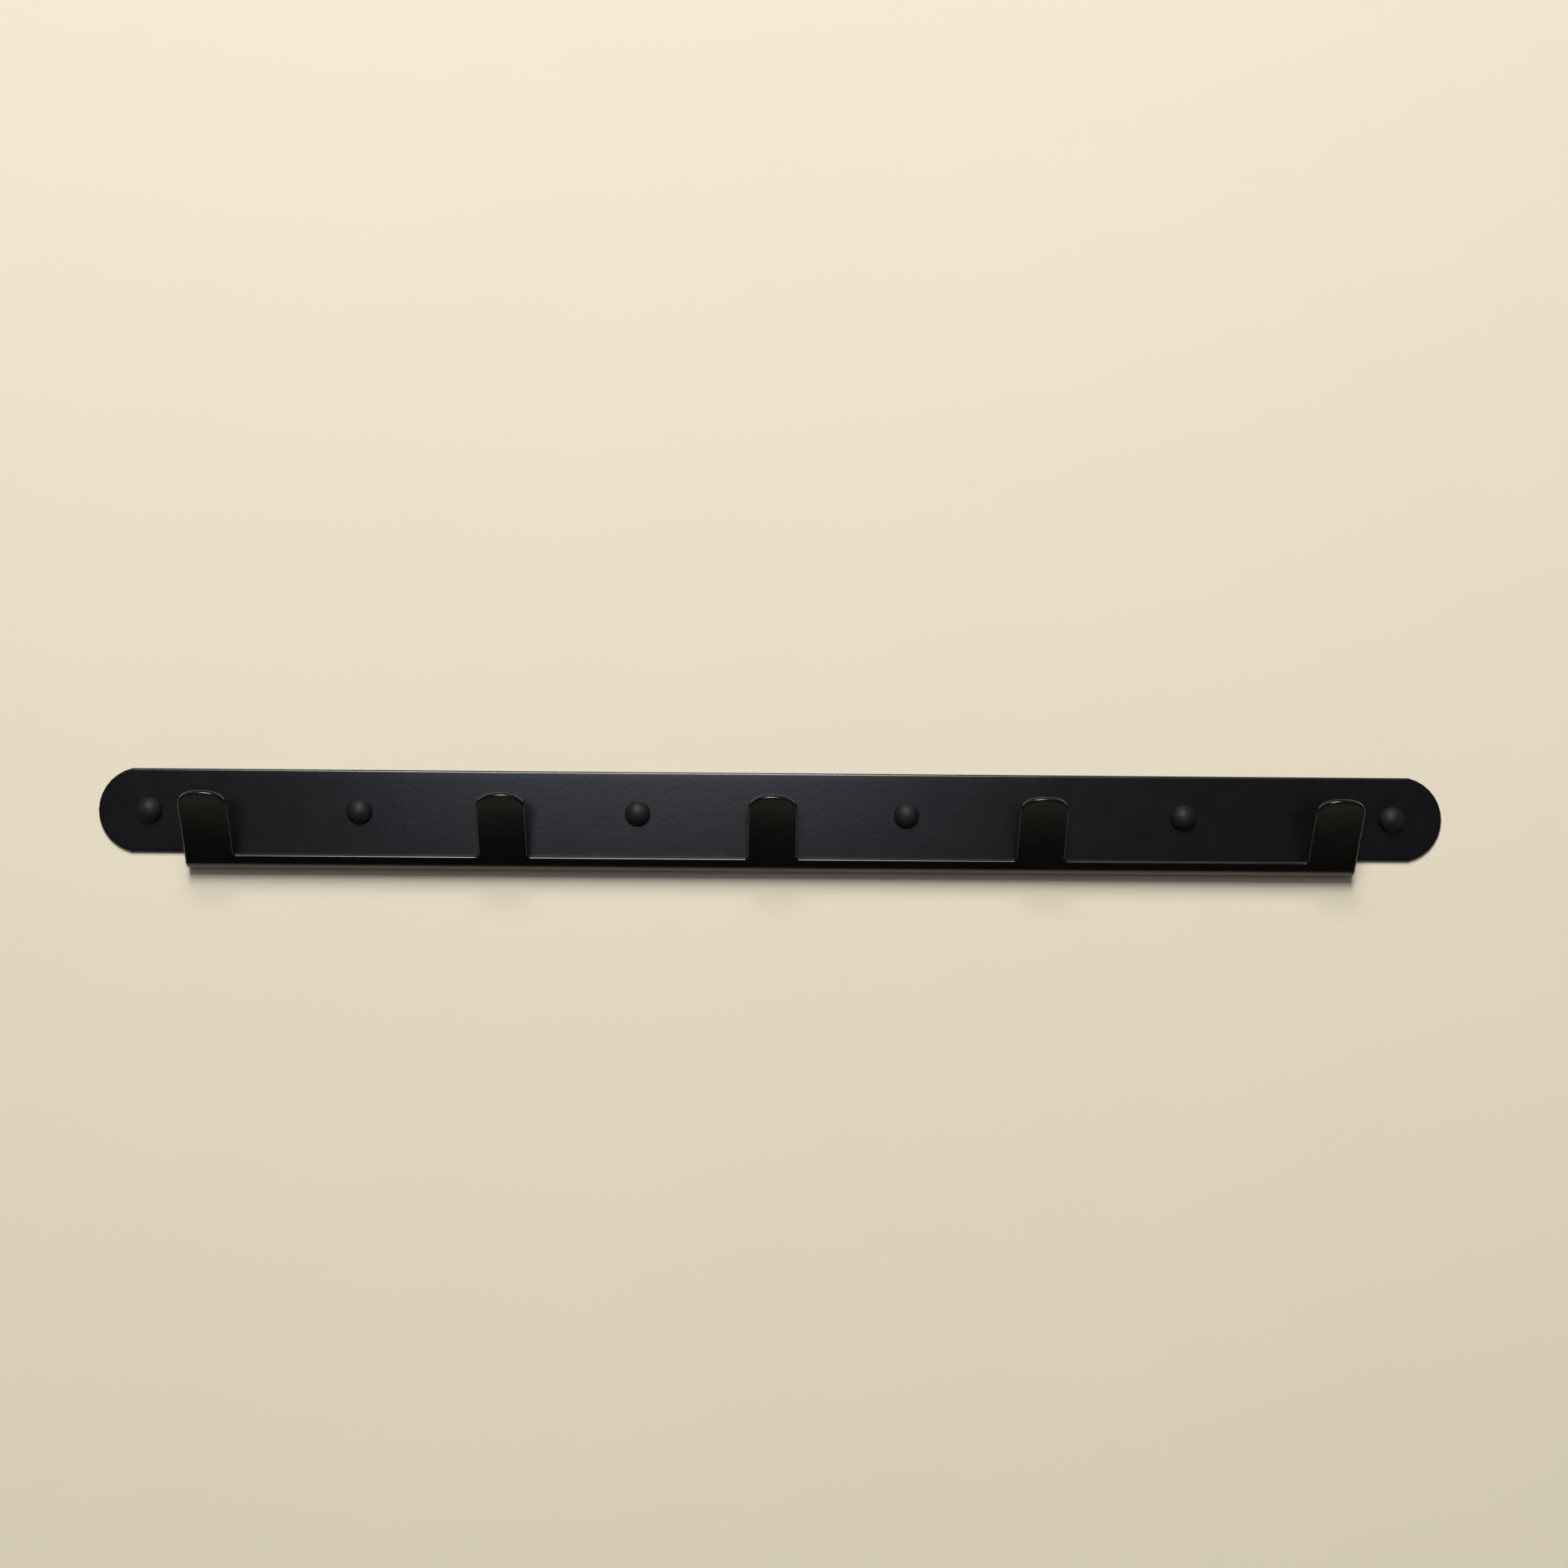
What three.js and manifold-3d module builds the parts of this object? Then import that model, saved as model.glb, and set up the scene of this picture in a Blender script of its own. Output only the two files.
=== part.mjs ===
// Wall rack: one folded steel rail with five upturned hooks, fixed by six screws under dome covers.
// Millimetres. X runs along the rail, +Y points into the wall, +Z is up.
// The origin is the middle of the rail's back face, on the wall.
import * as THREE from "three";
import { mergeVertices } from "three/addons/utils/BufferGeometryUtils.js";
import Module from "manifold-3d";

// Rail
const SHEET = 2.2;
const RAIL_LENGTH = 610;
const PLATE_HEIGHT = 38;
const END_BULGE = 15.2;

// Fold below the plate and the lip that rises from it
const BEND_OUTER_RADIUS = 6;
const BEND_CENTRE_DROP = 0.8;
const ROOT_LEAN = THREE.MathUtils.degToRad(39.5);
const HOOK_BOW = THREE.MathUtils.degToRad(7);
const LIP_HEIGHT = 4.1;

// Hooks, measured along the leaning sheet from the end of the fold
const HOOK_WIDTH = 22;
const HOOK_REACH = 42.2;
const HOOK_CENTRES = [-253, -121, 0, 121, 253];
const HOOK_CORNER_RADIUS = 7.8;
const HOOK_CROWN_RADIUS = 22;
const HOOK_ROOT_RADIUS = 1.2;
const PANEL_OVERRUN = 1.1;

// Fixings along the middle of the plate
const FIXING_CENTRES = [-282, -187, -61, 61, 187, 282];
const CLEARANCE = 0.3;
const SHANK_RADIUS = 1.9;
const SHANK_LENGTH = 36;
const SHANK_TIP = 5;
const SCREW_HEAD_RADIUS = 3.3;
const SCREW_HEAD_HEIGHT = 1.8;
const RECESS_SPAN = 3.6;
const RECESS_WIDTH = 0.8;
const RECESS_DEPTH = 1.1;
const FLANGE_RADIUS = 5.4;
const FLANGE_HEIGHT = 0.8;
const BOSS_WALL = 0.7;
const CAP_RADIUS = 5.7;
const CAP_SKIRT = 1.2;
const CAP_HEIGHT = 4.2;

// Facets
const ROUND_STEPS = 20;
const ARC_STEPS = 8;
const DOME_STEPS = 5;

const wasm = await Module();
wasm.setup();

const blackCoat = new THREE.MeshStandardMaterial({ color: 0x1d1e20, roughness: 0.45, metalness: 0.2 });
const blackPlastic = new THREE.MeshStandardMaterial({ color: 0x161616, roughness: 0.55, metalness: 0 });
const blackRubber = new THREE.MeshStandardMaterial({ color: 0x1a1a1a, roughness: 0.8, metalness: 0 });
const zincSteel = new THREE.MeshStandardMaterial({ color: 0xa8abad, roughness: 0.35, metalness: 1 });

// A closed geometry as a solid that can be cut and joined.
function toSolid(geometry) {
  const plain = geometry.clone();
  plain.deleteAttribute("normal");
  plain.deleteAttribute("uv");
  const merged = mergeVertices(plain, 1e-4);
  return new wasm.Manifold(new wasm.Mesh({
    numProp: 3,
    vertProperties: new Float32Array(merged.attributes.position.array),
    triVerts: new Uint32Array(merged.index.array),
  }));
}

function toGeometry(solid) {
  const mesh = solid.getMesh();
  const geometry = new THREE.BufferGeometry();
  geometry.setAttribute("position", new THREE.BufferAttribute(mesh.vertProperties, 3));
  geometry.setIndex(new THREE.BufferAttribute(mesh.triVerts, 1));
  geometry.computeVertexNormals();
  return geometry;
}

// The plate's outline: straight long edges and shallow round ends, with a hole at each fixing.
function plateShape() {
  const halfHeight = PLATE_HEIGHT / 2;
  const endRadius = (END_BULGE ** 2 + halfHeight ** 2) / (2 * END_BULGE);
  const endCentre = RAIL_LENGTH / 2 - endRadius;
  const endAngle = Math.atan2(halfHeight, endRadius - END_BULGE);
  const shape = new THREE.Shape();
  shape.absarc(endCentre, 0, endRadius, -endAngle, endAngle, false);
  shape.absarc(-endCentre, 0, endRadius, Math.PI - endAngle, Math.PI + endAngle, false);
  shape.closePath();
  for (const x of FIXING_CENTRES) {
    const hole = new THREE.Path();
    hole.absarc(x, 0, SHANK_RADIUS + CLEARANCE, 0, 2 * Math.PI, true);
    shape.holes.push(hole);
  }
  return shape;
}

function plateGeometry() {
  const geometry = new THREE.ExtrudeGeometry(plateShape(), {
    depth: SHEET,
    bevelEnabled: false,
    curveSegments: ROUND_STEPS,
  });
  // The outline's Y becomes Z, and the thickness runs from the wall towards the front.
  return geometry.rotateX(Math.PI / 2);
}

// The J-shaped section: a leg inside the plate, the fold, and a panel that leans out a little
// more towards its top and runs past the hooks' tips.
function foldSection() {
  const centreY = -BEND_OUTER_RADIUS;
  const centreZ = -PLATE_HEIGHT / 2 - BEND_CENTRE_DROP;
  const innerRadius = BEND_OUTER_RADIUS - SHEET;
  const endAngle = ROOT_LEAN - Math.PI;
  const outerEndY = centreY + BEND_OUTER_RADIUS * Math.cos(endAngle);
  const outerEndZ = centreZ + BEND_OUTER_RADIUS * Math.sin(endAngle);
  const bowRadius = HOOK_REACH / HOOK_BOW;
  const bowCentreY = outerEndY + bowRadius * Math.cos(endAngle);
  const bowCentreZ = outerEndZ + bowRadius * Math.sin(endAngle);
  const bowStart = ROOT_LEAN;
  const bowEnd = ROOT_LEAN + PANEL_OVERRUN * HOOK_BOW;
  const legTop = -PLATE_HEIGHT / 4;
  const section = new THREE.Shape();
  section.moveTo(-SHEET, legTop);
  section.absarc(centreY, centreZ, innerRadius, 0, endAngle, true);
  section.absarc(bowCentreY, bowCentreZ, bowRadius + SHEET, bowStart, bowEnd, false);
  section.absarc(bowCentreY, bowCentreZ, bowRadius, bowEnd, bowStart, true);
  section.absarc(centreY, centreZ, BEND_OUTER_RADIUS, endAngle, 0, false);
  section.lineTo(0, legTop);
  section.closePath();
  return { section, panelStart: new THREE.Vector3(0, outerEndY, outerEndZ) };
}

function foldGeometry(section) {
  const length = 2 * (HOOK_CENTRES[4] + HOOK_WIDTH);
  const geometry = new THREE.ExtrudeGeometry(section, {
    depth: length,
    bevelEnabled: false,
    curveSegments: ARC_STEPS,
  });
  // The section lies in YZ and runs along X.
  const along = new THREE.Matrix4().makeBasis(
    new THREE.Vector3(0, 1, 0),
    new THREE.Vector3(0, 0, 1),
    new THREE.Vector3(1, 0, 0),
  );
  return geometry.applyMatrix4(along).translate(-length / 2, 0, 0);
}

// One hook's side, crowned top and other side, drawn from right to left.
function drawHook(shape, centre) {
  const cornerX = HOOK_WIDTH / 2 - HOOK_CORNER_RADIUS;
  const crownY = HOOK_REACH - HOOK_CROWN_RADIUS;
  const rise = Math.sqrt((HOOK_CROWN_RADIUS - HOOK_CORNER_RADIUS) ** 2 - cornerX ** 2);
  const turn = Math.atan2(rise, cornerX);
  const cornerY = crownY + rise;
  shape.absarc(centre + cornerX, cornerY, HOOK_CORNER_RADIUS, 0, turn, false);
  shape.absarc(centre, crownY, HOOK_CROWN_RADIUS, turn, Math.PI - turn, false);
  shape.absarc(centre - cornerX, cornerY, HOOK_CORNER_RADIUS, Math.PI - turn, Math.PI, false);
}

// The cut edge of the unfolded sheet: hooks standing on a low lip, with small fillets at their roots.
function skylineShape() {
  const halfHook = HOOK_WIDTH / 2;
  const left = HOOK_CENTRES[0] - halfHook;
  const right = HOOK_CENTRES[4] + halfHook;
  const below = -HOOK_REACH;
  const rootY = LIP_HEIGHT + HOOK_ROOT_RADIUS;
  const shape = new THREE.Shape();
  shape.moveTo(left, below);
  shape.lineTo(right, below);
  for (const centre of [...HOOK_CENTRES].reverse()) {
    if (centre !== HOOK_CENTRES[4]) {
      const rootX = centre + halfHook + HOOK_ROOT_RADIUS;
      shape.absarc(rootX, rootY, HOOK_ROOT_RADIUS, -Math.PI / 2, -Math.PI, true);
    }
    drawHook(shape, centre);
    if (centre !== HOOK_CENTRES[0]) {
      const rootX = centre - halfHook - HOOK_ROOT_RADIUS;
      shape.absarc(rootX, rootY, HOOK_ROOT_RADIUS, 0, -Math.PI / 2, true);
    }
  }
  shape.closePath();
  return shape;
}

// The skyline as a thick block square to the leaning panel; what lies inside it is kept.
function skylineGeometry(panelStart) {
  const depth = PLATE_HEIGHT;
  const geometry = new THREE.ExtrudeGeometry(skylineShape(), {
    depth,
    bevelEnabled: false,
    curveSegments: ARC_STEPS,
  });
  geometry.translate(0, 0, SHEET - depth);
  const meanLean = ROOT_LEAN + HOOK_BOW / 2;
  const up = new THREE.Vector3(0, -Math.sin(meanLean), Math.cos(meanLean));
  const out = new THREE.Vector3(0, -Math.cos(meanLean), -Math.sin(meanLean));
  const onPanel = new THREE.Matrix4().makeBasis(new THREE.Vector3(1, 0, 0), up, out);
  return geometry.applyMatrix4(onPanel).translate(panelStart.x, panelStart.y, panelStart.z);
}

function railMesh() {
  const { section, panelStart } = foldSection();
  const fold = toSolid(foldGeometry(section)).intersect(toSolid(skylineGeometry(panelStart)));
  const rail = toSolid(plateGeometry()).add(fold);
  return namedMesh("rail", toGeometry(rail), blackCoat);
}

function namedMesh(name, geometry, material) {
  const mesh = new THREE.Mesh(geometry, material);
  mesh.name = name;
  return mesh;
}

function lathe(profile) {
  return new THREE.LatheGeometry(profile.map(([r, h]) => new THREE.Vector2(r, h)), ROUND_STEPS);
}

// Points of a shallow dome from its rim to just short of the axis, then the axis itself.
function domePoints(rimRadius, rimHeight, topHeight) {
  const rise = topHeight - rimHeight;
  const sphereRadius = (rimRadius ** 2 + rise ** 2) / (2 * rise);
  const centre = topHeight - sphereRadius;
  const start = Math.atan2(rimHeight - centre, rimRadius);
  const points = [];
  for (let i = 0; i < DOME_STEPS; i += 1) {
    const angle = start + (Math.PI / 2 - start) * (i / DOME_STEPS);
    points.push([sphereRadius * Math.cos(angle), centre + sphereRadius * Math.sin(angle)]);
  }
  points.push([0, topHeight]);
  return points;
}

// Heights of the stacked fixing parts, counted from the plate's front face.
const flangeBottom = CLEARANCE;
const flangeTop = flangeBottom + FLANGE_HEIGHT;
const headBottom = flangeTop + CLEARANCE;
const headTop = headBottom + SCREW_HEAD_HEIGHT;
const bossInner = SCREW_HEAD_RADIUS + CLEARANCE;
const bossOuter = bossInner + BOSS_WALL;
const socketRoof = headTop + 2 * CLEARANCE;
const bossTop = socketRoof - CLEARANCE;
const capBottom = flangeTop + CLEARANCE;

// A flanged ring that the screw clamps to the plate and the cap snaps over.
function baseGeometry() {
  const bore = SHANK_RADIUS + CLEARANCE;
  return lathe([
    [bore, flangeBottom],
    [FLANGE_RADIUS, flangeBottom],
    [FLANGE_RADIUS, flangeTop],
    [bossOuter, flangeTop],
    [bossOuter, bossTop],
    [bossInner, bossTop],
    [bossInner, flangeTop],
    [bore, flangeTop],
    [bore, flangeBottom],
  ]);
}

// A pan-head wood screw with a cross recess and a pointed end.
function screwGeometry() {
  const shankEnd = headBottom - SHANK_LENGTH;
  const body = toSolid(lathe([
    [0, shankEnd],
    [SHANK_RADIUS, shankEnd + SHANK_TIP],
    [SHANK_RADIUS, headBottom],
    [SCREW_HEAD_RADIUS, headBottom],
    ...domePoints(SCREW_HEAD_RADIUS, headBottom + SCREW_HEAD_HEIGHT / 3, headTop),
  ]));
  const slots = [[RECESS_SPAN, RECESS_WIDTH], [RECESS_WIDTH, RECESS_SPAN]].map(([width, depth]) => {
    const slot = new THREE.BoxGeometry(width, 2 * RECESS_DEPTH, depth);
    return toSolid(slot.translate(0, headTop, 0));
  });
  return toGeometry(body.subtract(slots[0].add(slots[1])));
}

// A domed cover with a round socket in its underside.
function capGeometry() {
  const socketRadius = bossOuter + CLEARANCE;
  return lathe([
    [0, socketRoof],
    [socketRadius, socketRoof],
    [socketRadius, capBottom],
    [CAP_RADIUS, capBottom],
    ...domePoints(CAP_RADIUS, capBottom + CAP_SKIRT, capBottom + CAP_HEIGHT),
  ]);
}

// The three fixing parts in a group whose own +Y points out of the wall.
function fixing(index, x) {
  const group = new THREE.Group();
  group.add(
    namedMesh(`cap_base_${index}`, baseGeometry(), blackPlastic),
    namedMesh(`wall_screw_${index}`, screwGeometry(), zincSteel),
    namedMesh(`dome_cap_${index}`, capGeometry(), blackRubber),
  );
  group.rotation.x = Math.PI;
  group.position.set(x, -SHEET, 0);
  return group;
}

const rack = new THREE.Group();
rack.add(railMesh());
FIXING_CENTRES.forEach((x, i) => rack.add(fixing(i + 1, x)));

export default rack;
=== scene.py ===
# A black steel hook rail on a pale wall: fine geometry, surfaces, light and camera.
import math

import bmesh
import bpy
from mathutils import Matrix, Vector


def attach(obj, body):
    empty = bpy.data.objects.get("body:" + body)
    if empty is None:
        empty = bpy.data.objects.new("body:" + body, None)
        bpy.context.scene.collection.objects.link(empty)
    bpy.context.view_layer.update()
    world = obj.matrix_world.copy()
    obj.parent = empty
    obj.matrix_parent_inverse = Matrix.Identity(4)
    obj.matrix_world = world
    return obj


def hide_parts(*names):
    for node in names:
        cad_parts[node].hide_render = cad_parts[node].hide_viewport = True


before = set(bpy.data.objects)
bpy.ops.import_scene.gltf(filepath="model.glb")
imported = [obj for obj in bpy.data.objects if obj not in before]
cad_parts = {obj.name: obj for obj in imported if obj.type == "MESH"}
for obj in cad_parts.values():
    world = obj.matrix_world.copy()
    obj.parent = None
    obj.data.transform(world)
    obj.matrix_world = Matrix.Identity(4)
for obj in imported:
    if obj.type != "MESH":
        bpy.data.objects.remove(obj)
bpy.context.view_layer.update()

MM = 0.001

# Rail, in millimetres, as in the CAD
SHEET = 2.2
RAIL_LENGTH = 610
PLATE_HEIGHT = 38
END_BULGE = 15.2
BEND_OUTER_RADIUS = 6
BEND_CENTRE_DROP = 0.8
ROOT_LEAN = math.radians(39.5)
HOOK_BOW = math.radians(7)
LIP_HEIGHT = 4.1
HOOK_WIDTH = 22
HOOK_REACH = 42.2
HOOK_CENTRES = (-253, -121, 0, 121, 253)
HOOK_CORNER_RADIUS = 7.8
HOOK_CROWN_RADIUS = 22
HOOK_ROOT_RADIUS = 1.2

# Fixings, in millimetres, as in the CAD
FIXING_CENTRES = (-282, -187, -61, 61, 187, 282)
CLEARANCE = 0.3
SHANK_RADIUS = 1.9
SHANK_LENGTH = 36
SHANK_TIP = 5
HEAD_RADIUS = 3.3
HEAD_HEIGHT = 1.8
RECESS_SPAN = 3.6
RECESS_WIDTH = 0.8
RECESS_DEPTH = 1.1
FLANGE_RADIUS = 5.4
FLANGE_HEIGHT = 0.8
BOSS_WALL = 0.7
CAP_RADIUS = 5.7
CAP_SKIRT = 1.2
CAP_HEIGHT = 4.2

# Rounding that the CAD leaves out, in millimetres
PLATE_EDGE_SOFTNESS = 1.0
HOOK_EDGE_SOFTNESS = 0.7
FOLD_CORNER_RADIUS = 0.8
HEAD_ROUND = 0.15
CAP_ROOF_ROUND = 0.2
CAP_MOUTH_ROUND = 0.15
CAP_RIM_ROUND = 0.25
BASE_ROUND = 0.1
FLANGE_ROUND = 0.3
BOSS_ROUND = 0.15

# Screw thread and recess, lengths in millimetres; the neck under the head has no thread
THREAD_DEPTH = 0.55
THREAD_PITCH = 1.8
THREAD_SHARPNESS = 3
THREAD_FADE = 2
NECK_LENGTH = 5
NECK_SHARE_OF_DEPTH = 0.35
RECESS_TAPER = 0.6
RECESS_CUTTER_OVERRUN = 1

# How much further each fixing is turned than the one before it, in radians
FIXING_TURN = 1.7

# Facets
ARC_STEPS = 14
BEND_STEPS = 26
EDGE_STEPS = 5
FILLET_STEPS = 5
ROOT_STEPS = 6
HOLE_STEPS = 36
ACROSS_STEPS = 122
PLATE_STEPS = 9
HOOK_STEPS = 12
ROUND_STEPS = 72
HEAD_STEPS = 8
THREAD_STEPS = 220

# Limits used while the meshes are built: two in millimetres, one in metres, an angle and a share
ON_AXIS = 1e-6
ON_SCORE = 1e-4
SAME_PLACE = 1e-7
NEARLY_STRAIGHT = math.radians(85)
MITRE_LIMIT = 0.5

# Shading: how far the larger faces lead, from 0 to 100, and the angle from which an edge is sharp
LARGE_FACES_LEAD = 100
SHARP_ANGLE = math.radians(40)

# The part of a noise's 0 to 1 range that most of its surface keeps to
NOISE_LOW = 0.3
NOISE_HIGH = 0.7

# Wall, room, lights and camera, in metres; the lens and its sensor are in millimetres
WALL_HALF_WIDTH = 4.5
WALL_TOP = 4.5
WALL_FOOT = -1.4
WALL_PLACE = -0.0003
ROOM_DISTANCE = 4.5
ROOM_HALF_WIDTH = 11
ROOM_HALF_HEIGHT = 6
ROOM_COLOR = (0.96, 0.96, 1, 1)
ROOM_GLOW = 0.11
WORLD_COLOR = (1, 0.76, 0.42, 1)
WORLD_STRENGTH = 0.012
KEY_PLACE = Vector((-0.2, -2.58, 2.06))
KEY_SIZE = (0.9, 2.0)
KEY_POWER = 123
KEY_COLOR = (1, 0.985, 0.96)
FILL_PLACE = Vector((-0.1, -1.7, 0.27))
FILL_SIZE = (0.5, 0.4)
FILL_POWER = 1.7
FILL_COLOR = (0.81, 0.85, 1)
REAR_PLACE = Vector((1.7, 1.7, -0.5))
REAR_SIZE = (1.9, 1.9)
REAR_POWER = 9
REAR_COLOR = (1, 0.98, 0.95)
CAMERA_PLACE = Vector((-0.0139, -1.4143, -0.017))
CAMERA_YAW = math.radians(0.78)
CAMERA_PITCH = math.radians(1.26)
CAMERA_ROLL = math.radians(0.44)
CAMERA_LENS = 71.4
CAMERA_SENSOR = 36
CAMERA_CLIP_START = 0.01


# ---------------------------------------------------------------- outlines

def arc(centre_x, centre_y, radius, start, end, steps=ARC_STEPS):
    """Points along an arc, both ends included."""
    points = []
    for i in range(steps + 1):
        angle = start + (end - start) * i / steps
        points.append((centre_x + radius * math.cos(angle), centre_y + radius * math.sin(angle)))
    return points


def filleted(profile):
    """A polyline whose corners are rounded; each point is (radius, height, fillet)."""
    points = [Vector((radius, height)) for radius, height, _ in profile]
    fillets = [fillet for _, _, fillet in profile]
    made = [points[0]]
    for before, corner, after, fillet in zip(points, points[1:], points[2:], fillets[1:]):
        to_before = (before - corner).normalized()
        to_after = (after - corner).normalized()
        half = to_before.angle(to_after) / 2
        if not fillet or half > NEARLY_STRAIGHT:
            made.append(corner)
            continue
        reach = fillet / math.tan(half)
        centre = corner + (to_before + to_after).normalized() * fillet / math.sin(half)
        start = corner + to_before * reach - centre
        end = corner + to_after * reach - centre
        turn = start.angle_signed(end)
        for i in range(FILLET_STEPS + 1):
            spin = Matrix.Rotation(-turn * i / FILLET_STEPS, 2)
            made.append(centre + spin @ start)
    made.append(points[-1])
    return made


def dome(rim_radius, rim_height, top_height, steps=ARC_STEPS):
    """A shallow dome's profile from its rim to the axis."""
    rise = top_height - rim_height
    sphere = (rim_radius ** 2 + rise ** 2) / (2 * rise)
    centre = top_height - sphere
    start = math.atan2(rim_height - centre, rim_radius)
    points = arc(0, centre, sphere, start, math.pi / 2, steps)
    points[-1] = (0, top_height)
    return points


# ---------------------------------------------------------------- mesh helpers

def placed(name, data):
    """A new object in the scene, from a mesh, a light or a camera."""
    made = bpy.data.objects.new(name, data)
    bpy.context.scene.collection.objects.link(made)
    return made


def closed_mesh(builder, name):
    """What was built, as a smooth mesh whose faces all point outwards."""
    bmesh.ops.recalc_face_normals(builder, faces=builder.faces)
    mesh = bpy.data.meshes.new(name)
    builder.to_mesh(mesh)
    builder.free()
    for polygon in mesh.polygons:
        polygon.use_smooth = True
    return mesh


def add_ring(builder, height, radii):
    """Points around Y in millimetres, one for each radius; heights count towards -Y."""
    ring = []
    for i, radius in enumerate(radii):
        angle = 2 * math.pi * i / len(radii)
        place = (radius * math.cos(angle) * MM, -height * MM, radius * math.sin(angle) * MM)
        ring.append(builder.verts.new(place))
    return ring


def add_pole(builder, height):
    """A ring that is a single point on the axis."""
    return [builder.verts.new((0, -height * MM, 0))]


def bridge(builder, lower, upper):
    """Faces between two rings, either of which can be a pole."""
    for i in range(ROUND_STEPS):
        corners = [lower[i % len(lower)], lower[(i + 1) % len(lower)],
                   upper[(i + 1) % len(upper)], upper[i % len(upper)]]
        builder.faces.new(list(dict.fromkeys(corners)))


def lathe(name, profile):
    """A closed surface of revolution about Y from a profile of (radius, height)."""
    builder = bmesh.new()
    rings = []
    for radius, height in profile:
        if radius < ON_AXIS:
            rings.append(add_pole(builder, height))
        else:
            rings.append(add_ring(builder, height, [radius] * ROUND_STEPS))
    for lower, upper in zip(rings, rings[1:]):
        bridge(builder, lower, upper)
    bmesh.ops.remove_doubles(builder, verts=builder.verts, dist=SAME_PLACE)
    return closed_mesh(builder, name)


# ---------------------------------------------------------------- materials

class Paint:
    """A node material with one Principled shader and a few short ways to feed it."""

    def __init__(self, name):
        self.material = bpy.data.materials.new(name)
        self.material.use_nodes = True
        self.nodes = self.material.node_tree.nodes
        self.links = self.material.node_tree.links
        self.shader = self.nodes["Principled BSDF"]
        coordinates = self.nodes.new("ShaderNodeTexCoord")
        in_mm = self.nodes.new("ShaderNodeVectorMath")
        in_mm.operation = "SCALE"
        in_mm.inputs["Scale"].default_value = 1 / MM
        self.links.new(coordinates.outputs["Object"], in_mm.inputs[0])
        self.place = in_mm.outputs[0]

    def set(self, socket, value):
        """One value for the whole surface."""
        self.shader.inputs[socket].default_value = value

    def noise(self, grain, detail=3):
        """Noise whose features are about grain millimetres across."""
        node = self.nodes.new("ShaderNodeTexNoise")
        node.inputs["Scale"].default_value = 1 / grain
        node.inputs["Detail"].default_value = detail
        self.links.new(self.place, node.inputs["Vector"])
        return node.outputs["Fac"]

    def spread(self, value, low, high, to_low, to_high):
        """The value's low to high range laid over another range, and held there."""
        node = self.nodes.new("ShaderNodeMapRange")
        node.inputs["From Min"].default_value = low
        node.inputs["From Max"].default_value = high
        node.inputs["To Min"].default_value = to_low
        node.inputs["To Max"].default_value = to_high
        self.links.new(value, node.inputs["Value"])
        return node.outputs["Result"]

    def specks(self, spacing, radius):
        """1 inside small scattered dots, 0 elsewhere."""
        node = self.nodes.new("ShaderNodeTexVoronoi")
        node.inputs["Scale"].default_value = 1 / spacing
        self.links.new(self.place, node.inputs["Vector"])
        edge = radius / spacing
        return self.spread(node.outputs["Distance"], edge, edge / 2, 0, 1)

    def mix_color(self, share, first, second):
        """The base colour: first where the share is 0, second where it is 1."""
        node = self.nodes.new("ShaderNodeMix")
        node.data_type = "RGBA"
        node.inputs["A"].default_value = (*first, 1)
        node.inputs["B"].default_value = (*second, 1)
        self.links.new(share, node.inputs["Factor"])
        self.links.new(node.outputs["Result"], self.shader.inputs["Base Color"])

    def vary_roughness(self, grain, low, high):
        """Roughness that wanders between two values, in patches grain millimetres across."""
        wander = self.spread(self.noise(grain), NOISE_LOW, NOISE_HIGH, low, high)
        self.links.new(wander, self.shader.inputs["Roughness"])

    def bump(self, height, depth):
        """Relief of depth millimetres, laid over any relief made before."""
        node = self.nodes.new("ShaderNodeBump")
        node.inputs["Distance"].default_value = depth * MM
        self.links.new(height, node.inputs["Height"])
        normal = self.shader.inputs["Normal"]
        if normal.links:
            self.links.new(normal.links[0].from_socket, node.inputs["Normal"])
        self.links.new(node.outputs["Normal"], normal)


def powder_coat():
    """Semi-gloss black powder coat: soft orange peel, fine grain and a few specks of dust."""
    black = (0.0013, 0.0014, 0.0022)
    dust = (0.1, 0.095, 0.088)
    paint = Paint("black_powder_coat")
    paint.mix_color(paint.specks(spacing=30, radius=0.26), black, dust)
    paint.vary_roughness(grain=14, low=0.205, high=0.23)
    paint.bump(paint.noise(grain=2.3, detail=1.5), depth=0.02)
    paint.bump(paint.noise(grain=0.5, detail=2), depth=0.0015)
    return paint.material


def black_rubber():
    """Matte moulded rubber with a fine tooth and a trace of dust."""
    clean = (0.005, 0.005, 0.0052)
    dusty = (0.0095, 0.0093, 0.009)
    paint = Paint("black_rubber")
    dust = paint.spread(paint.noise(grain=2.4), low=0.35, high=0.75, to_low=0, to_high=1)
    paint.mix_color(dust, clean, dusty)
    paint.vary_roughness(grain=1.2, low=0.52, high=0.62)
    paint.set("Specular IOR Level", 0.3)
    paint.bump(paint.noise(grain=0.22, detail=2), depth=0.01)
    return paint.material


def black_nylon():
    """Satin moulded plastic with flow marks."""
    dark = (0.005, 0.005, 0.0055)
    pale = (0.009, 0.009, 0.009)
    paint = Paint("black_nylon")
    paint.mix_color(paint.noise(grain=3), dark, pale)
    paint.vary_roughness(grain=0.8, low=0.36, high=0.5)
    paint.bump(paint.noise(grain=0.4, detail=2), depth=0.004)
    return paint.material


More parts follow.
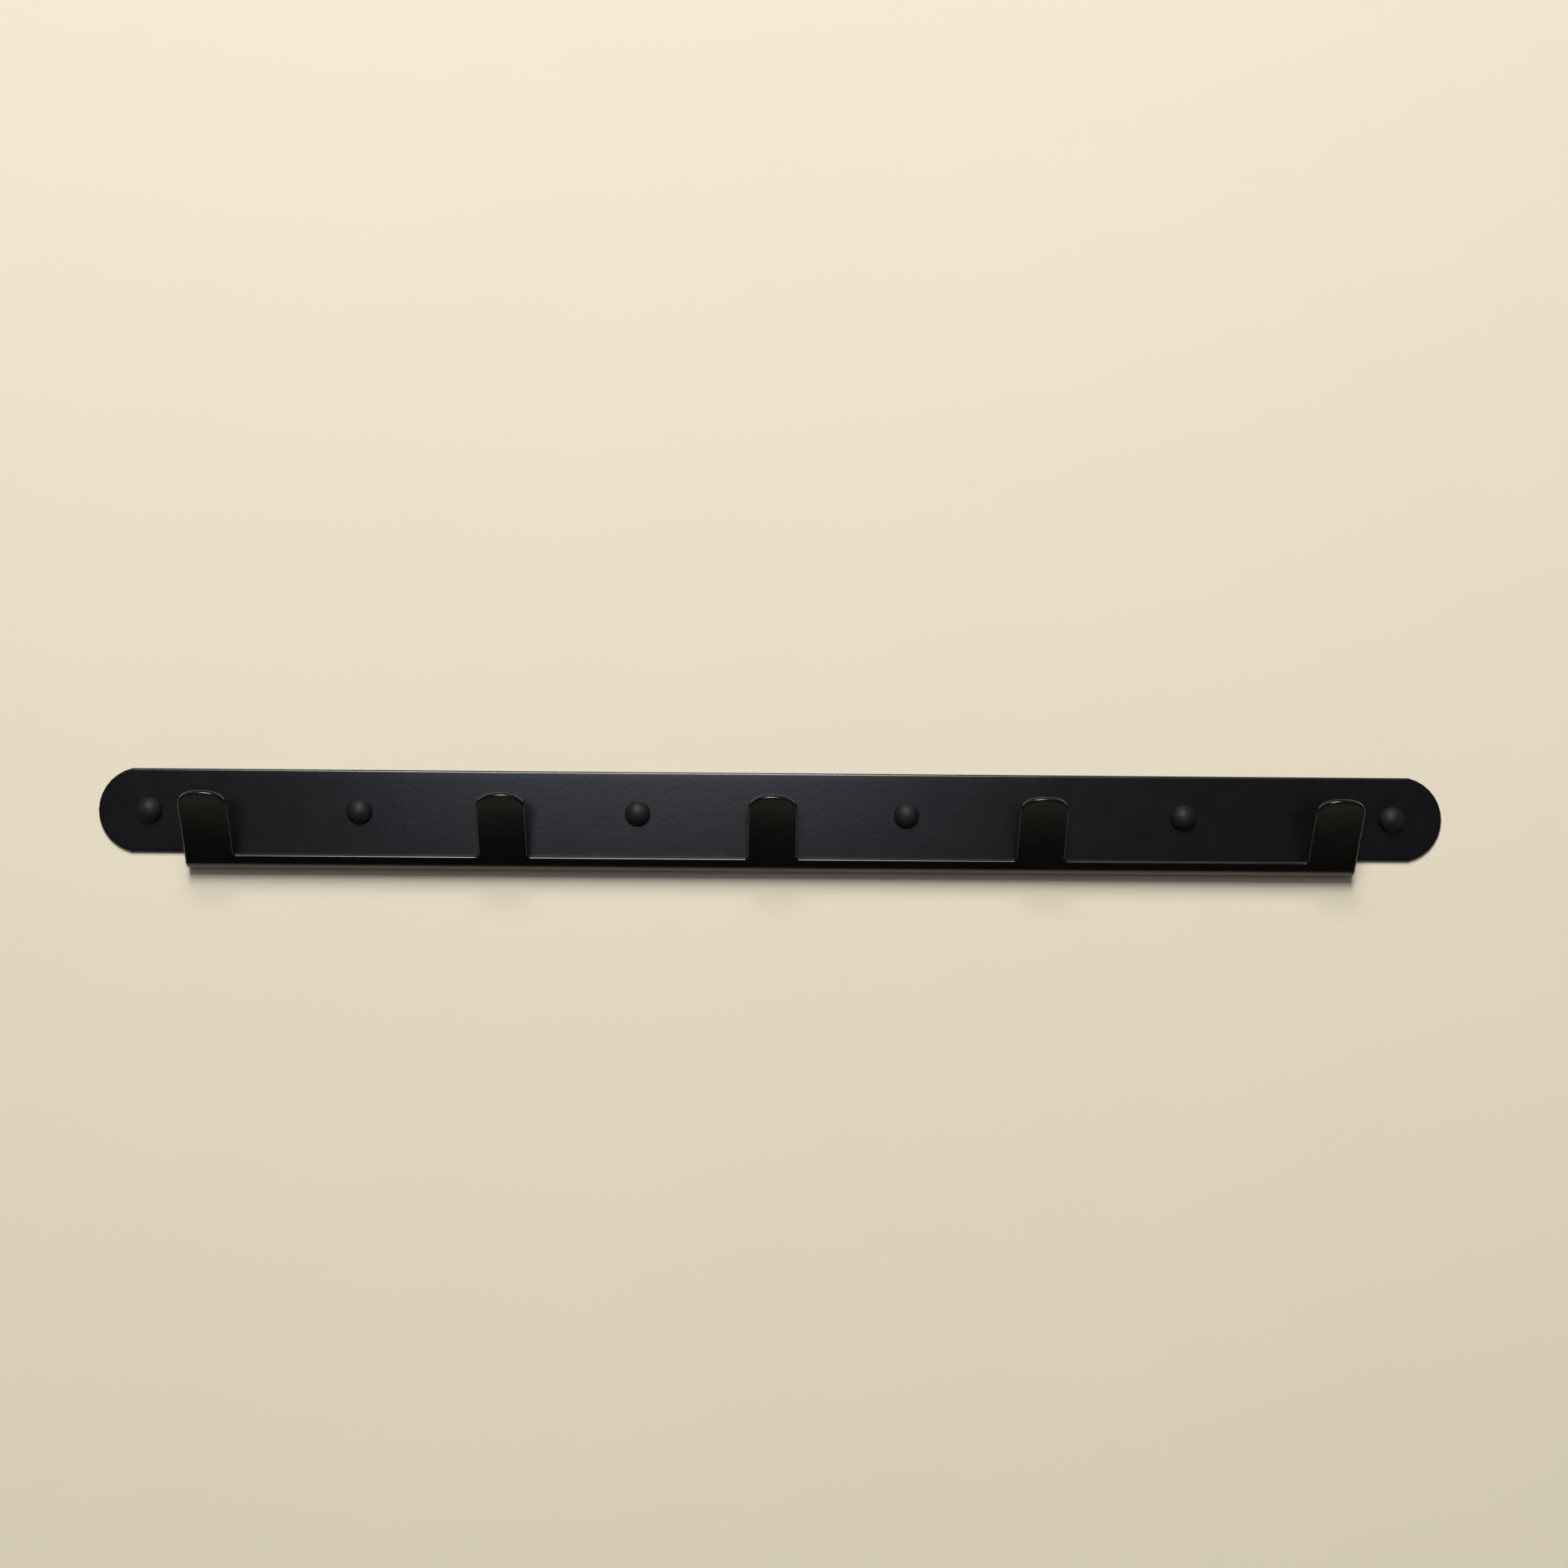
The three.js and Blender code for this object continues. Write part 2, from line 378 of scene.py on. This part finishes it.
def zinc_plate():
    """Bright zinc with cloudy patches and a fine grain."""
    dull = (0.46, 0.47, 0.48)
    bright = (0.68, 0.7, 0.73)
    paint = Paint("zinc_plate")
    paint.set("Metallic", 1)
    paint.mix_color(paint.noise(grain=4), dull, bright)
    paint.vary_roughness(grain=1.5, low=0.22, high=0.42)
    paint.bump(paint.noise(grain=0.25, detail=2), depth=0.004)
    return paint.material


def wall_material():
    """Cream, faintly uneven; seen from behind it is clear, so that the room shows through."""
    cream = (0.8, 0.725, 0.57)
    pale_cream = (0.82, 0.745, 0.59)
    paint = Paint("cream_wall")
    paint.set("Roughness", 0.85)
    paint.mix_color(paint.noise(grain=220, detail=2), cream, pale_cream)
    paint.bump(paint.noise(grain=90, detail=2), depth=0.5)
    paint.bump(paint.noise(grain=0.9, detail=2), depth=0.012)
    geometry = paint.nodes.new("ShaderNodeNewGeometry")
    clear = paint.nodes.new("ShaderNodeBsdfTransparent")
    choose = paint.nodes.new("ShaderNodeMixShader")
    surface = paint.nodes["Material Output"].inputs["Surface"]
    paint.links.new(geometry.outputs["Backfacing"], choose.inputs["Fac"])
    paint.links.new(paint.shader.outputs[0], choose.inputs[1])
    paint.links.new(clear.outputs[0], choose.inputs[2])
    paint.links.new(choose.outputs[0], surface)
    return paint.material


def room_material():
    """An even dim glow."""
    material = bpy.data.materials.new("dim_room")
    material.use_nodes = True
    nodes = material.node_tree.nodes
    nodes.remove(nodes["Principled BSDF"])
    glow = nodes.new("ShaderNodeEmission")
    glow.inputs["Color"].default_value = ROOM_COLOR
    glow.inputs["Strength"].default_value = ROOM_GLOW
    surface = nodes["Material Output"].inputs["Surface"]
    material.node_tree.links.new(glow.outputs[0], surface)
    return material


# ---------------------------------------------------------------- rail

# The blank is the sheet laid flat: X runs along the rail, and the second coordinate counts from the
# plate's middle down through the fold, then up the lip and hooks, along the middle of the sheet.
BEND_MIDDLE_RADIUS = BEND_OUTER_RADIUS - SHEET / 2
BEND_TURN = math.pi - ROOT_LEAN
BEND_START = PLATE_HEIGHT / 2 + BEND_CENTRE_DROP
BEND_END = BEND_START + BEND_MIDDLE_RADIUS * BEND_TURN
BOW_RADIUS = HOOK_REACH / HOOK_BOW + SHEET / 2
FOLD_SIDE = HOOK_CENTRES[-1] + HOOK_WIDTH / 2

# The hole for a screw's shank, in the plate and in the bases
HOLE_RADIUS = SHANK_RADIUS + CLEARANCE


def hook_outline(centre):
    """One hook's right side, crowned top and left side on the blank."""
    corner_x = HOOK_WIDTH / 2 - HOOK_CORNER_RADIUS
    rise = math.sqrt((HOOK_CROWN_RADIUS - HOOK_CORNER_RADIUS) ** 2 - corner_x ** 2)
    turn = math.atan2(rise, corner_x)
    crown_y = BEND_END + HOOK_REACH - HOOK_CROWN_RADIUS
    corner_y = crown_y + rise
    return (
        arc(centre + corner_x, corner_y, HOOK_CORNER_RADIUS, 0, turn)
        + arc(centre, crown_y, HOOK_CROWN_RADIUS, turn, math.pi - turn)[1:]
        + arc(centre - corner_x, corner_y, HOOK_CORNER_RADIUS, math.pi - turn, math.pi)[1:]
    )


def inner_corner(x, y, radius, side):
    """The rounded corner beside what rises at x from y: on its right if side is 1, left if -1."""
    start = -math.pi / 2 if side > 0 else 0
    return arc(x + side * radius, y + radius, radius, start, start - math.pi / 2, ROOT_STEPS)


def blank_outline():
    """The blank's outline, anticlockwise."""
    half_height = PLATE_HEIGHT / 2
    end_radius = (END_BULGE ** 2 + half_height ** 2) / (2 * END_BULGE)
    end_centre = RAIL_LENGTH / 2 - end_radius
    end_angle = math.atan2(half_height, end_radius - END_BULGE)
    lip_top = BEND_END + LIP_HEIGHT
    points = arc(end_centre, 0, end_radius, -end_angle, end_angle)
    points += inner_corner(FOLD_SIDE, half_height, FOLD_CORNER_RADIUS, 1)
    for centre in reversed(HOOK_CENTRES):
        if centre != HOOK_CENTRES[-1]:
            points += inner_corner(centre + HOOK_WIDTH / 2, lip_top, HOOK_ROOT_RADIUS, 1)
        points += hook_outline(centre)
        if centre != HOOK_CENTRES[0]:
            points += inner_corner(centre - HOOK_WIDTH / 2, lip_top, HOOK_ROOT_RADIUS, -1)
    points += inner_corner(-FOLD_SIDE, half_height, FOLD_CORNER_RADIUS, -1)
    points += arc(-end_centre, 0, end_radius, math.pi - end_angle, math.pi + end_angle)
    return points


def folded(across, along, inward):
    """Where a point of the blank lies once it is folded; inward counts from the sheet's middle."""
    turned = min(max(along - BEND_START, 0) / BEND_MIDDLE_RADIUS, BEND_TURN)
    y = -BEND_OUTER_RADIUS + BEND_MIDDLE_RADIUS * math.cos(turned)
    z = -BEND_START - BEND_MIDDLE_RADIUS * math.sin(turned) + max(BEND_START - along, 0)
    lean = ROOT_LEAN + max(along - BEND_END, 0) / BOW_RADIUS
    y -= BOW_RADIUS * (math.cos(ROOT_LEAN) - math.cos(lean))
    z += BOW_RADIUS * (math.sin(lean) - math.sin(ROOT_LEAN))
    facing = turned - (lean - ROOT_LEAN)
    y -= inward * math.cos(facing)
    z += inward * math.sin(facing)
    return Vector((across, y, z)) * MM


def inset(points, distances):
    """A closed outline moved into the material on its left, each point by its own distance."""
    moved = []
    around = zip(points[-1:] + points[:-1], points, points[1:] + points[:1], distances)
    for before, here, after, distance in around:
        first = (Vector(here) - Vector(before)).normalized()
        second = (Vector(after) - Vector(here)).normalized()
        middle = (first + second).normalized()
        reach = distance / max(middle.dot(first), MITRE_LIMIT)
        moved.append((here[0] - middle.y * reach, here[1] + middle.x * reach))
    return moved


def softness(along):
    """How far the cut edge is rounded: fully along the plate, more crisply on the lip and hooks."""
    share = min(max(along - BEND_START, 0) / (BEND_END - BEND_START), 1)
    return PLATE_EDGE_SOFTNESS + (HOOK_EDGE_SOFTNESS - PLATE_EDGE_SOFTNESS) * share


def edge_angles():
    """The rounded cut edge as (side, angle) steps from the sheet's outer face to its inner one."""
    steps = []
    for side, start in ((-1, -math.pi / 2), (1, 0)):
        for i in range(EDGE_STEPS + 1):
            steps.append((side, start + math.pi / 2 * i / EDGE_STEPS))
    return steps


def add_edge(builder, points):
    """The rounded wall along one outline; gives back its outermost loops of edges."""
    radii = [softness(y) for _, y in points]
    loops = []
    for side, angle in edge_angles():
        distances = [radius * (1 - math.cos(angle)) for radius in radii]
        loop = []
        for (x, y), radius in zip(inset(points, distances), radii):
            inward = side * (SHEET / 2 - radius) + radius * math.sin(angle)
            loop.append(builder.verts.new((x, y, inward)))
        loops.append(loop)
    count = len(points)
    for lower, upper in zip(loops, loops[1:]):
        for i in range(count):
            n = (i + 1) % count
            builder.faces.new((lower[i], lower[n], upper[n], upper[i]))
    rims = []
    for loop in (loops[0], loops[-1]):
        rims.append([builder.edges.get((loop[i], loop[(i + 1) % count])) for i in range(count)])
    return rims


def score(builder, axis, start, end, steps):
    """Lines across the blank at even steps, so that it folds cleanly and shades evenly."""
    normal = [0, 0, 0]
    normal[axis] = 1
    for i in range(1, steps + 1):
        place = [0, 0, 0]
        place[axis] = start + (end - start) * i / steps
        whole = builder.verts[:] + builder.edges[:] + builder.faces[:]
        bmesh.ops.bisect_plane(builder, geom=whole, dist=ON_SCORE, plane_co=place, plane_no=normal)


def folded_sheet():
    """The blank with rounded cut edges, scored across the fold and folded up."""
    builder = bmesh.new()
    outer_rim, inner_rim = add_edge(builder, blank_outline())
    for x in FIXING_CENTRES:
        hole = arc(x, 0, HOLE_RADIUS, 2 * math.pi, 0, HOLE_STEPS)[:-1]
        outer_hole, inner_hole = add_edge(builder, hole)
        outer_rim += outer_hole
        inner_rim += inner_hole
    for rim in (outer_rim, inner_rim):
        bmesh.ops.triangle_fill(builder, use_beauty=True, use_dissolve=False, edges=rim)
    score(builder, 0, -RAIL_LENGTH / 2, RAIL_LENGTH / 2, ACROSS_STEPS)
    score(builder, 1, -PLATE_HEIGHT / 2, BEND_START, PLATE_STEPS)
    score(builder, 1, BEND_START, BEND_END, BEND_STEPS)
    score(builder, 1, BEND_END, BEND_END + HOOK_REACH, HOOK_STEPS)
    for vertex in builder.verts:
        vertex.co = folded(*vertex.co)
    return closed_mesh(builder, "rail_coated")


def build_rail(material):
    mesh = folded_sheet()
    mesh.materials.append(material)
    rail = placed("rail_coated", mesh)
    shading = rail.modifiers.new("even_shading", "WEIGHTED_NORMAL")
    shading.weight = LARGE_FACES_LEAD
    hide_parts("rail")
    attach(rail, "rack")


# ---------------------------------------------------------------- fixings

# Heights above the plate's front face, in millimetres
FLANGE_BOTTOM = CLEARANCE
FLANGE_TOP = FLANGE_BOTTOM + FLANGE_HEIGHT
HEAD_BOTTOM = FLANGE_TOP + CLEARANCE
HEAD_RIM = HEAD_BOTTOM + HEAD_HEIGHT / 3
HEAD_TOP = HEAD_BOTTOM + HEAD_HEIGHT
SHANK_END = HEAD_BOTTOM - SHANK_LENGTH
SOCKET_ROOF = HEAD_TOP + 2 * CLEARANCE
BOSS_TOP = SOCKET_ROOF - CLEARANCE
CAP_BOTTOM = FLANGE_TOP + CLEARANCE
CAP_RIM = CAP_BOTTOM + CAP_SKIRT

# Radii, in millimetres
BOSS_INNER = HEAD_RADIUS + CLEARANCE
BOSS_OUTER = BOSS_INNER + BOSS_WALL
SOCKET = BOSS_OUTER + CLEARANCE


def cap_mesh():
    """A domed cap with a socket under it for the base's boss."""
    shell = filleted([
        (0, SOCKET_ROOF, 0),
        (SOCKET, SOCKET_ROOF, CAP_ROOF_ROUND),
        (SOCKET, CAP_BOTTOM, CAP_MOUTH_ROUND),
        (CAP_RADIUS, CAP_BOTTOM, CAP_RIM_ROUND),
        (CAP_RADIUS, CAP_RIM, 0),
    ])
    return lathe("dome_cap", shell[:-1] + dome(CAP_RADIUS, CAP_RIM, CAP_BOTTOM + CAP_HEIGHT))


def base_mesh():
    """A flange under the screw's head, with a boss around the head for the cap to grip."""
    start = (HOLE_RADIUS, (FLANGE_BOTTOM + FLANGE_TOP) / 2, 0)
    return lathe("cap_base", filleted([
        start,
        (HOLE_RADIUS, FLANGE_BOTTOM, BASE_ROUND),
        (FLANGE_RADIUS, FLANGE_BOTTOM, BASE_ROUND),
        (FLANGE_RADIUS, FLANGE_TOP, FLANGE_ROUND),
        (BOSS_OUTER, FLANGE_TOP, BASE_ROUND),
        (BOSS_OUTER, BOSS_TOP, BOSS_ROUND),
        (BOSS_INNER, BOSS_TOP, BOSS_ROUND),
        (BOSS_INNER, FLANGE_TOP, BASE_ROUND),
        (HOLE_RADIUS, FLANGE_TOP, BASE_ROUND),
        start,
    ]))


def thread_radius(height, angle):
    """The threaded shank's radius at a height and angle."""
    along = height - SHANK_END
    core = SHANK_RADIUS - THREAD_DEPTH
    taper = min(1, along / SHANK_TIP)
    phase = (height / THREAD_PITCH + angle / (2 * math.pi)) % 1
    ridge = (1 - abs(2 * phase - 1)) ** THREAD_SHARPNESS
    fade = min(1, max(0, (SHANK_LENGTH - NECK_LENGTH - along) / THREAD_FADE))
    neck = NECK_SHARE_OF_DEPTH * (1 - fade)
    return taper * (core + THREAD_DEPTH * max(ridge * fade, neck))


def screw_body_mesh():
    """Pointed threaded shank and pan head, in one closed skin."""
    builder = bmesh.new()
    rings = []
    for i in range(1, THREAD_STEPS + 1):
        height = SHANK_END + SHANK_LENGTH * i / THREAD_STEPS
        angles = [2 * math.pi * k / ROUND_STEPS for k in range(ROUND_STEPS)]
        rings.append(add_ring(builder, height, [thread_radius(height, angle) for angle in angles]))
    head = filleted([
        (SHANK_RADIUS, HEAD_BOTTOM, 0),
        (HEAD_RADIUS, HEAD_BOTTOM, HEAD_ROUND),
        (HEAD_RADIUS, HEAD_RIM, 0),
    ])[1:-1] + dome(HEAD_RADIUS, HEAD_RIM, HEAD_TOP, HEAD_STEPS)[:-1]
    for radius, height in head:
        rings.append(add_ring(builder, height, [radius] * ROUND_STEPS))
    for lower, upper in zip(rings, rings[1:]):
        bridge(builder, lower, upper)
    for ring, height in ((rings[0], SHANK_END), (rings[-1], HEAD_TOP)):
        bridge(builder, ring, add_pole(builder, height))
    return closed_mesh(builder, "screw_body")


def recess_cutter_mesh():
    """A tapered cross that stands in the screw's head."""
    builder = bmesh.new()
    for span, width in ((RECESS_SPAN, RECESS_WIDTH), (RECESS_WIDTH, RECESS_SPAN)):
        for vertex in bmesh.ops.create_cube(builder, size=1)["verts"]:
            deep = vertex.co.y > 0
            narrow = RECESS_TAPER if deep else 1
            height = HEAD_TOP - RECESS_DEPTH if deep else HEAD_TOP + RECESS_CUTTER_OVERRUN
            x = vertex.co.x * span * narrow
            z = vertex.co.z * width * narrow
            vertex.co = Vector((x, -height, z)) * MM
    mesh = bpy.data.meshes.new("recess_cutter")
    builder.to_mesh(mesh)
    builder.free()
    return mesh


def screw_mesh():
    """The screw with its cross recess cut, as one finished mesh."""
    body = placed("screw_body", screw_body_mesh())
    cutter = placed("recess_cutter", recess_cutter_mesh())
    cut = body.modifiers.new("recess", "BOOLEAN")
    cut.object = cutter
    cut.solver = "EXACT"
    cut.use_self = True
    bpy.context.view_layer.update()
    settled = body.evaluated_get(bpy.context.evaluated_depsgraph_get())
    finished = bpy.data.meshes.new_from_object(settled)
    bpy.data.objects.remove(body)
    bpy.data.objects.remove(cutter)
    finished.name = "wall_screw"
    finished.set_sharp_from_angle(angle=SHARP_ANGLE)
    return finished


def place_fixings(rubber, nylon, zinc):
    """Six screws, each with its base and cap, and each set turned further than the last."""
    kinds = (
        ("cap_base", base_mesh(), "black_plastic", nylon),
        ("wall_screw", screw_mesh(), "zinc_steel", zinc),
        ("dome_cap", cap_mesh(), "black_rubber", rubber),
    )
    for kind, mesh, slot, material in kinds:
        mesh.materials.append(material)
        for number, x in enumerate(FIXING_CENTRES, 1):
            piece = placed(f"{kind}_{number}_fine", mesh)
            piece.location = (x * MM, -SHEET * MM, 0)
            piece.rotation_euler = (0, FIXING_TURN * number, 0)
            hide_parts(f"{kind}_{number}")
            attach(piece, f"cap_{number}" if kind == "dome_cap" else "rack")


# ---------------------------------------------------------------- stage

def stage_panel(name, corners, material):
    """A flat backdrop that is not part of the object."""
    mesh = bpy.data.meshes.new(name)
    mesh.from_pydata(corners, [], [(0, 1, 2, 3)])
    mesh.materials.append(material)
    placed(name, mesh)


def build_wall():
    """A wall that stops well below the picture, above the dark lower part of the room.

    It lies a hair in front of the rail's back face, so that light from behind can reach that face.
    """
    stage_panel("wall", [
        (-WALL_HALF_WIDTH, WALL_PLACE, WALL_FOOT),
        (WALL_HALF_WIDTH, WALL_PLACE, WALL_FOOT),
        (WALL_HALF_WIDTH, WALL_PLACE, WALL_TOP),
        (-WALL_HALF_WIDTH, WALL_PLACE, WALL_TOP),
    ], wall_material())


def build_room():
    """The dim far side of the room, which the rail faces and which shows behind it from the back."""
    stage_panel("room", [
        (-ROOM_HALF_WIDTH, -ROOM_DISTANCE, -ROOM_HALF_HEIGHT),
        (-ROOM_HALF_WIDTH, -ROOM_DISTANCE, ROOM_HALF_HEIGHT),
        (ROOM_HALF_WIDTH, -ROOM_DISTANCE, ROOM_HALF_HEIGHT),
        (ROOM_HALF_WIDTH, -ROOM_DISTANCE, -ROOM_HALF_HEIGHT),
    ], room_material())


def area_light(name, place, size, power, color):
    """A rectangular light that faces the middle of the rail."""
    data = bpy.data.lights.new(name, "AREA")
    data.shape = "RECTANGLE"
    data.size, data.size_y = size
    data.energy = power
    data.color = color
    light = placed(name, data)
    light.location = place
    light.rotation_euler = (-place).to_track_quat("-Z", "Y").to_euler()


def build_light():
    area_light("key_light", KEY_PLACE, KEY_SIZE, KEY_POWER, KEY_COLOR)
    area_light("fill_light", FILL_PLACE, FILL_SIZE, FILL_POWER, FILL_COLOR)
    area_light("rear_light", REAR_PLACE, REAR_SIZE, REAR_POWER, REAR_COLOR)
    world = bpy.data.worlds.new("room")
    world.use_nodes = True
    background = world.node_tree.nodes["Background"]
    background.inputs["Color"].default_value = WORLD_COLOR
    background.inputs["Strength"].default_value = WORLD_STRENGTH
    bpy.context.scene.world = world
    bpy.context.scene.view_settings.view_transform = "Standard"


def build_camera():
    """The camera, aimed by its turn to the side, its tilt up and its roll."""
    forward = Vector((
        math.sin(CAMERA_YAW) * math.cos(CAMERA_PITCH),
        math.cos(CAMERA_YAW) * math.cos(CAMERA_PITCH),
        math.sin(CAMERA_PITCH),
    ))
    level = Vector((math.cos(CAMERA_YAW), -math.sin(CAMERA_YAW), 0))
    upright = level.cross(forward)
    right = level * math.cos(CAMERA_ROLL) + upright * math.sin(CAMERA_ROLL)
    up = upright * math.cos(CAMERA_ROLL) - level * math.sin(CAMERA_ROLL)
    data = bpy.data.cameras.new("camera")
    data.lens = CAMERA_LENS
    data.sensor_width = CAMERA_SENSOR
    data.clip_start = CAMERA_CLIP_START
    camera = placed("camera", data)
    turned = Matrix((right, up, -forward)).transposed().to_4x4()
    camera.matrix_world = Matrix.Translation(CAMERA_PLACE) @ turned
    bpy.context.scene.camera = camera


build_rail(powder_coat())
place_fixings(black_rubber(), black_nylon(), zinc_plate())
build_wall()
build_room()
build_light()
build_camera()
